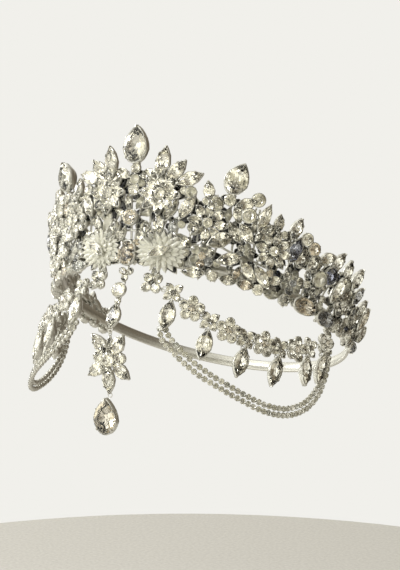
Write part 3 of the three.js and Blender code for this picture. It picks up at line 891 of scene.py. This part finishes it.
festoon = (
    # kind, angle, height
    ("link", 19, -13), ("flower", 26.4, -19.4), ("link", 33.2, -23), ("flower", 39.9, -25.2),
    ("link", 46.5, -26.2), ("flower", 53, -26), ("link", 59.5, -24.6), ("flower", 66, -22),
    ("link", 72.6, -17.6), ("flower", 80, -11.6),
)
festoonKinds = {
    # proud, petals (count, distance, length, width, lift, lean, phase, cut), heart (cut, size, lift, tint)
    "flower": (1.3, (5, 3.9, 5.3, 4.876, 0, 4, 0, "petal"), ("petal", 4, 1.1, "champagne")),
    "link": (0.4, (4, 2.9, 5.5, 4, 0.3, 4, 0.5, "navette"), ("round", 2.4, 1, None)),
}
festoonParts = {
    "ends": ((11, -10.4), (81, -2)),  # angle, height where its wire starts and stops
    "navette": (14.8, 7.6),
    "navetteProud": 0.2,
    "navetteBelow": {"link": 12, "flower": 13.2},
    "ringBelow": {"link": 4.5, "flower": 5.8},
    "strandRings": ((18.2, -31.2), (84, -14.6)),
    "joinShares": (0.56, 0.44),  # of the way to the next one
    "joinRing": (1.2, 1.3),  # proud, radius
    "hangingRing": (1, 0.9),
    "strandRingProud": 0.8,
    "wire": (0.7, 0.35),
}
lugs = (
    # angle, foot height, cluster height, petals, their length and width, distance, height of the round above
    (0, -13, -6.2, 3, 4.2, 3.4, 2.4, 0), (11, -10, -10, 4, 6, 4.6, 3.1, -3.6), (81, -8, 0, 0, 0, 0, 0, -3.4),
)


lugParts = {
    "legTop": 1.5,
    "legProud": 0.5,
    "legRadius": 0.5,
    "stonesProud": 0.6,
    "heart": (3, 1),  # size, lift
    "round": 4,
}


def buildLugs():
    # Short legs under the band that carry the festoons and the drop, with stones on them
    legs, stones, proud = [], [], lugParts["stonesProud"]
    size, lift = lugParts["heart"]
    for angle, foot, height, petals, length, width, distance, above in lugs:
        for _, sign in eachSide("", angle):
            legs.append([wallPoint(sign * angle, h, lugParts["legProud"])
                         for h in (lugParts["legTop"], foot / 2, foot)])
            if petals:
                place = wallMatrix(sign * angle, height, proud)
                stones += petalRing(place, petals, distance, length, width, 0, 5, 0.5, "petal", "clear")
                stones.append(stoneAt("round", place @ shift(0, 0, lift), size, size, "champagne"))
            if above:
                place = wallMatrix(sign * angle, above, proud)
                stones.append(stoneAt("round", place, lugParts["round"], lugParts["round"], "clear"))
    addStones("clusters", stones, slot="paved_silver", replaced=())
    addWires("lug_wires", legs, radius=lugParts["legRadius"])


def betweenPlaces(sign, start, end, share, proud):
    (angleA, heightA), (angleB, heightB) = start, end
    return wallMatrix(sign * angleA + (sign * angleB - sign * angleA) * share,
                      heightA + (heightB - heightA) * share, proud)


def buildFestoonWires(side, sign):
    start, end = festoonParts["ends"]
    line = [start] + [(angle, height) for _, angle, height in festoon] + [end]
    joins, loops, lines = [], [], []
    (joinProud, joinRadius), (ringProud, ringRadius), (wireProud, wireRadius) = (
        festoonParts[part] for part in ("joinRing", "hangingRing", "wire"))
    for i, (placeA, placeB) in enumerate(zip(line, line[1:])):
        share = festoonParts["joinShares"][i % 2]
        joins.append(betweenPlaces(sign, placeA, placeB, share, joinProud))
        lines.append([betweenPlaces(sign, placeA, placeB, t, wireProud).translation for t in (0, 0.5, 1)])
    for i, (kind, angle, height) in enumerate(festoon):
        if kind == "link" or i == len(festoon) - 1:
            loops.append(wallMatrix(sign * angle, height - festoonParts["ringBelow"][kind], ringProud))
    for angle, height in festoonParts["strandRings"]:
        loops.append(wallMatrix(sign * angle, height, festoonParts["strandRingProud"]))
    addRings("festoon_rings_" + side, joins, radius=joinRadius)
    addRings("navette_rings_" + side, loops, radius=ringRadius)
    addWires("festoon_wires_" + side, lines, radius=wireRadius)


def buildFestoon(side, sign):
    # A navette hangs under every link, and under the last flower
    counts = {"link": 0, "flower": 0, "navette": 0}
    for i, (kind, angle, height) in enumerate(festoon):
        counts[kind] += 1
        proud, petals, (cut, size, lift, tint) = festoonKinds[kind]
        place = wallMatrix(sign * angle, height, proud)
        stones = petalRing(place, *petals, "clear")
        stones.append(stoneAt(cut, place @ shift(0, 0, lift), size, size, tint))
        addStones(f"festoon_{kind}_{counts[kind]}_{side}", stones, seed=i, slot="paved_flower")
        if kind == "link" or i == len(festoon) - 1:
            counts["navette"] += 1
            below = festoonParts["navetteBelow"][kind]
            place = wallMatrix(sign * angle, height - below, festoonParts["navetteProud"])
            node = f"festoon_navette_{counts['navette']}_{side}"
            addStone(node, "navetteWide", place, *festoonParts["navette"], wobble=6, seed=i)


strandRoutes = {
    # angle, height along each strand
    "lower": ((17.4, -31.6), (19, -36.5), (23, -41), (31.9, -48.4), (42.5, -53.2), (54, -56.2), (62, -56.4),
              (70, -53.6), (78, -46.5), (83.6, -37), (86, -27), (86, -20), (85.3, -13.3)),
    "upper": ((19.5, -31.6), (22, -35.6), (27, -40.6), (33, -45.4), (43, -50), (54, -53), (61.8, -53.2),
              (69.2, -50.6), (76.3, -44.2), (81.2, -35.6), (83.8, -27.5), (83.9, -22.5), (83.2, -17.4)),
}
strandSizes = {
    "pitch": 3.0,
    "stone": 2.75,
    "seat": 0.55,  # how far the stones stand out, in their own size
    "proud": 0.3,
    "wire": 0.3,
    "wobble": 14,
    "seed": 4,
    "foils": {"clear": 4, "frost": 12, "grey": 1},
}


def smoothRoute(route, count=90):
    # Catmull-Rom through the route's points
    padded = [route[0], *route, route[-1]]
    points = []
    for k in range(count + 1):
        place = k / count * (len(route) - 1)
        i = min(int(place), len(route) - 2)
        t = place - i
        a, b, c, d = (Vector(p) for p in padded[i:i + 4])
        points.append(0.5 * (2 * b + (c - a) * t + (2 * a - 5 * b + 4 * c - d) * t * t
                             + (3 * b - a - 3 * c + d) * t ** 3))
    return points


def buildStrand(name, route, sign):
    sizes = strandSizes
    route = [(sign * angle, height) for angle, height in smoothRoute(route)]
    places = [wallMatrix(a, h, sizes["proud"] + sizes["seat"] * sizes["stone"]) for a, h in route]
    mesh = newMesh(name, [p.translation for p in places], edges=[(i, i + 1) for i in range(len(places) - 1)])
    setOnPoints(mesh, "outward", "FLOAT_VECTOR", [c for p in places for c in p.col[2][:3]])
    patterns = [collection.objects[cutNames.index("round")] for collection in (stonePatterns, cupPatterns)]
    stonesMesh, cupsMesh = stonesAndCups(name, mesh, chainAlongRoute, patterns, crystal, chainSilverPaintedShade, {
        "Pitch": sizes["pitch"] * mm, "Size": sizes["stone"] * mm, "Wobble": math.radians(sizes["wobble"]),
        "Seed": sizes["seed"]})
    corners = len(patterns[0].data.vertices)
    foils = random.Random(name).choices([tints[tint] for tint in sizes["foils"]],
                                        list(sizes["foils"].values()),
                                        k=len(stonesMesh.vertices) // corners)
    setOnPoints(stonesMesh, "tint", "FLOAT", [tone for tone in foils for _ in range(corners)])
    addPiece(name + "_stones", stonesMesh, "crown", "cup_chain", (name,))
    addPiece(name + "_cups", cupsMesh, "crown", "cup_chain")
    back = [wallPoint(a, h, sizes["proud"] + sizes["wire"]) for a, h in route]
    addWires(name + "_wire", [back], radius=sizes["wire"], slot="cup_chain")


buildLugs()
for side, sign in sides:
    buildFestoon(side, sign)
    buildFestoonWires(side, sign)
    for name, route in strandRoutes.items():
        buildStrand(f"cup_chain_{name}_{side}", route, sign)
print("festoons and cup chains")

drop = {
    # height, proud, length, width
    "topStone": (-15.6, 1.3, 7.2, 7.2),
    "link": (-28.6, 0.2, 12.4, 7.2),
    "small": (-20.8, 1.2, 3.2, 3.2),
    "wire": ((-12, -20, -28, -35.4), 0.6),  # heights, proud
    "hinge": (-36.8, 2),  # height, proud
    # these hang: millimetres below the hinge, behind it or in front of it
    "hingeRing": (0.6, 0.95),  # above the hinge, radius
    "starRing": (0.5, 1.15),
    "pearRings": (28.45, 30.1),
    "ringWire": 0.22,
    "starBelow": 13,
    "starBehind": 1.5,
    "starHeart": (7, 0.8),  # size, lift
    "starWire": ((1.8, 8, 14, 27), 0.6, 0.45),  # below, in front of the hinge, radius
    "pear": (40, 1, 17, 12.4),  # below, behind, length, width
}
starPetals = (
    # cut, spin, length, width, distance
    ("navette", 35, 12, 6.6, 8.6), ("navette", -35, 12, 6.6, 8.6), ("navette", 126, 11.4, 6.2, 8.4),
    ("navette", -126, 11.4, 6.2, 8.4), ("navette", 180, 12.8, 6.6, 9.6), ("petal", 82, 5.8, 5.4, 6.2),
    ("petal", -82, 5.8, 5.4, 6.2), ("navette", 0, 7, 4, 7.3),
)


def hangingMatrix(below, behind=0):
    # X to the wearer's left, Y up, Z to the front, at a distance below the hinge
    hinge = wallPoint(0, *drop["hinge"])
    matrix = spun(90, "X")
    matrix.translation = (0, hinge.y, hinge.z - below * mm)
    return matrix @ shift(0, 0, -behind)


def buildDrop():
    # What lies on the forehead, down to the link and its ring
    for node, part, cut, kept in (("drop_top_stone", "topStone", "oval", {}),
                                  ("drop_link", "link", "navetteWide", {}),
                                  ("drop_small", "small", "round", {"replaced": ()})):
        height, proud, length, width = drop[part]
        addStone(node, cut, wallMatrix(0, height, proud), length, width, wobble=0, **kept)
    heights, proud = drop["wire"]
    addWires("drop_wire", [[wallPoint(0, height, proud) for height in heights]])
    hinge, sideways = hangingMatrix(0), spun(90, "Y")
    above, radius = drop["hingeRing"]
    addRings("drop_ring", [hinge @ shift(0, above, 0)], radius=radius, wire=drop["ringWire"])

    # What swings: the star and the pear, with their rings
    below, radius = drop["starRing"]
    upper, lower = drop["pearRings"]
    rings = [hinge @ shift(0, -below, 0) @ sideways, hangingMatrix(upper) @ sideways, hangingMatrix(lower)]
    addRings("star_rings", rings, body="forehead_drop", radius=radius, wire=drop["ringWire"])
    heights, proud, radius = drop["starWire"]
    line = [hangingMatrix(height).translation + Vector((0, proud * mm, 0)) for height in heights]
    addWires("star_wire", [line], body="forehead_drop", radius=radius)
    star = hangingMatrix(drop["starBelow"], drop["starBehind"])
    size, lift = drop["starHeart"]
    stones = [stoneAt(cut, star @ spun(-spin) @ shift(0, distance, 0), length, width, "clear")
              for cut, spin, length, width, distance in starPetals]
    stones.append(stoneAt("petal", star @ shift(0, 0, lift), size, size, "clear"))
    addStones("drop_star", stones, body="forehead_drop", slot="paved_flower")
    below, behind, length, width = drop["pear"]
    addStone("drop_pear_stone", "pear", hangingMatrix(below, behind), length, width, "champagne",
             body="forehead_drop", wobble=0, replaced=("drop_pear_stone", "drop_pear_cup"))


buildDrop()
print("forehead drop")

for collection in (stonePatterns, cupPatterns):
    for pattern in list(collection.objects):
        bpy.data.objects.remove(pattern)
    bpy.data.collections.remove(collection)

studio = {
    "tableReach": 0.42,
    "tableEdge": 0.006,
    "floorDrop": 0.215,  # how far the floor is below the head's seat
    "honed": 0.8,  # roughness
    "grain": 2.5,  # millimetres
    "grainDark": "#BDBAB5",
    "grainPale": "#E3E1DC",
    "backdrop": "#F1F0EB",
    "panelScale": 4,
    "panels": (
        # place in the noise, brightness
        (0.36, (0.3, 0.3, 0.28, 1)), (0.46, (1.18, 1.16, 1.05, 1)), (0.66, (1.6, 1.58, 1.46, 1)),
        (0.74, (6, 6, 5.7, 1)),
    ),
    "behind": ("#6E675E", (-0.4, 1.1)),  # the room behind the crown is dimmer and warmer
    "dimToLeft": 1.2,  # and how much of that dimness reaches the wearer's left
    "viewer": ("#B5B3AA", (0.86, 0.98)),  # whoever looks at the crown stands in the light
    "viewerSide": (0.48, -0.87, 0.11),
    "lamps": (
        # name, place, size, power
        ("key", (-0.45, -0.75, 0.7), 0.35, 3.5), ("fill", (-0.85, -0.2, 0.35), 0.3, 2),
    ),
    "lampsAimAt": (0, 0, 0.03),
}
camera = {
    "azimuth": 29.0,
    "elevation": 6.5,
    "distance": 0.7,
    "roll": 0.5,
    "lens": 82,
    "aimRight": -2 * mm,
    "aimUp": 20 * mm,
}


def buildFloor():
    # A round table top of pale stone, honed matt
    steps, reach, edge, low = 96, studio["tableReach"], studio["tableEdge"], -studio["floorDrop"]
    circle = [(math.cos(2 * math.pi * i / steps), math.sin(2 * math.pi * i / steps)) for i in range(steps)]
    rings = [[(x * r, y * r, z) for x, y in circle] for r, z in (
        (reach - edge, low), (reach - edge * 0.3, low - edge * 0.3), (reach, low - edge),
        (reach, low - 5 * edge))]
    points, faces = joinRings(rings, steps)
    mesh = newMesh("floor", points, faces)
    tidyNormals(mesh)
    material, tree, shader = newMaterial("pale honed stone", {"Roughness": studio["honed"]})
    mottle(tree, shader, studio["grain"], 6, studio["grainDark"], studio["grainPale"])
    mesh.materials.append(material)
    newObject("floor", mesh)


def buildWorld():
    # The camera sees a plain backdrop; the stones see a studio of pale panels with dark between them
    world = bpy.data.worlds.new("studio")
    bpy.context.scene.world = world
    world.use_nodes = True
    tree = world.node_tree
    place = addNode(tree, "ShaderNodeTexCoord", {})
    cloud = addNode(tree, "ShaderNodeTexNoise", {
        "Scale": studio["panelScale"], "Detail": 1, "Vector": place.outputs["Generated"]})
    panels = addNode(tree, "ShaderNodeValToRGB", {"Fac": cloud.outputs["Fac"]})
    fillRamp(panels.color_ramp, studio["panels"])
    split = addNode(tree, "ShaderNodeSeparateXYZ", {0: place.outputs["Generated"]})
    away = addNode(tree, "ShaderNodeMath", {
        "operation": "MULTIPLY_ADD", 1: studio["dimToLeft"], 0: split.outputs["X"], 2: split.outputs["Y"]})
    toViewer = addNode(tree, "ShaderNodeVectorMath", {
        "operation": "DOT_PRODUCT", 1: studio["viewerSide"], 0: place.outputs["Generated"]})
    light = panels.outputs["Color"]
    for distance, (colour, (near, far)) in ((away.outputs[0], studio["behind"]),
                                            (toViewer.outputs["Value"], studio["viewer"])):
        part = addNode(tree, "ShaderNodeMapRange", {
            "interpolation_type": "SMOOTHSTEP", 1: near, 2: far, 0: distance})
        shaded = addNode(tree, "ShaderNodeMix", {
            "data_type": "RGBA", "blend_type": "MULTIPLY", 7: hexToLinear(colour), 0: part.outputs[0],
            6: light})
        light = shaded.outputs[2]
    seen = addNode(tree, "ShaderNodeLightPath", {})
    mixed = addNode(tree, "ShaderNodeMix", {
        "data_type": "RGBA", 7: hexToLinear(studio["backdrop"]), 0: seen.outputs["Is Camera Ray"],
        6: light})
    tree.links.new(mixed.outputs[2], tree.nodes["Background"].inputs["Color"])


def addLamp(name, place, size, power):
    light = bpy.data.lights.new(name, "AREA")
    light.size = size
    light.energy = power
    lamp = newObject(name, light)
    lamp.location = place
    lamp.rotation_euler = (Vector(studio["lampsAimAt"]) - Vector(place)).to_track_quat("-Z", "Y").to_euler()


def buildCamera():
    azimuth, elevation = math.radians(camera["azimuth"]), math.radians(camera["elevation"])
    back = Vector((math.sin(azimuth) * math.cos(elevation), -math.cos(azimuth) * math.cos(elevation),
                   math.sin(elevation)))
    right = Vector((math.cos(azimuth), math.sin(azimuth), 0))
    up = back.cross(right)
    aim = right * camera["aimRight"] + up * camera["aimUp"]
    data = bpy.data.cameras.new("camera")
    data.lens = camera["lens"]
    data.clip_start = 0.01
    view = newObject("camera", data)
    view.location = back * camera["distance"]
    look = (aim - view.location).to_track_quat("-Z", "Y").to_matrix().to_4x4()
    view.rotation_euler = (look @ spun(camera["roll"])).to_euler()
    bpy.context.scene.camera = view
    bpy.context.scene.view_settings.view_transform = "Standard"


buildFloor()
buildWorld()
for lamp in studio["lamps"]:
    addLamp(*lamp)
buildCamera()
print("studio")
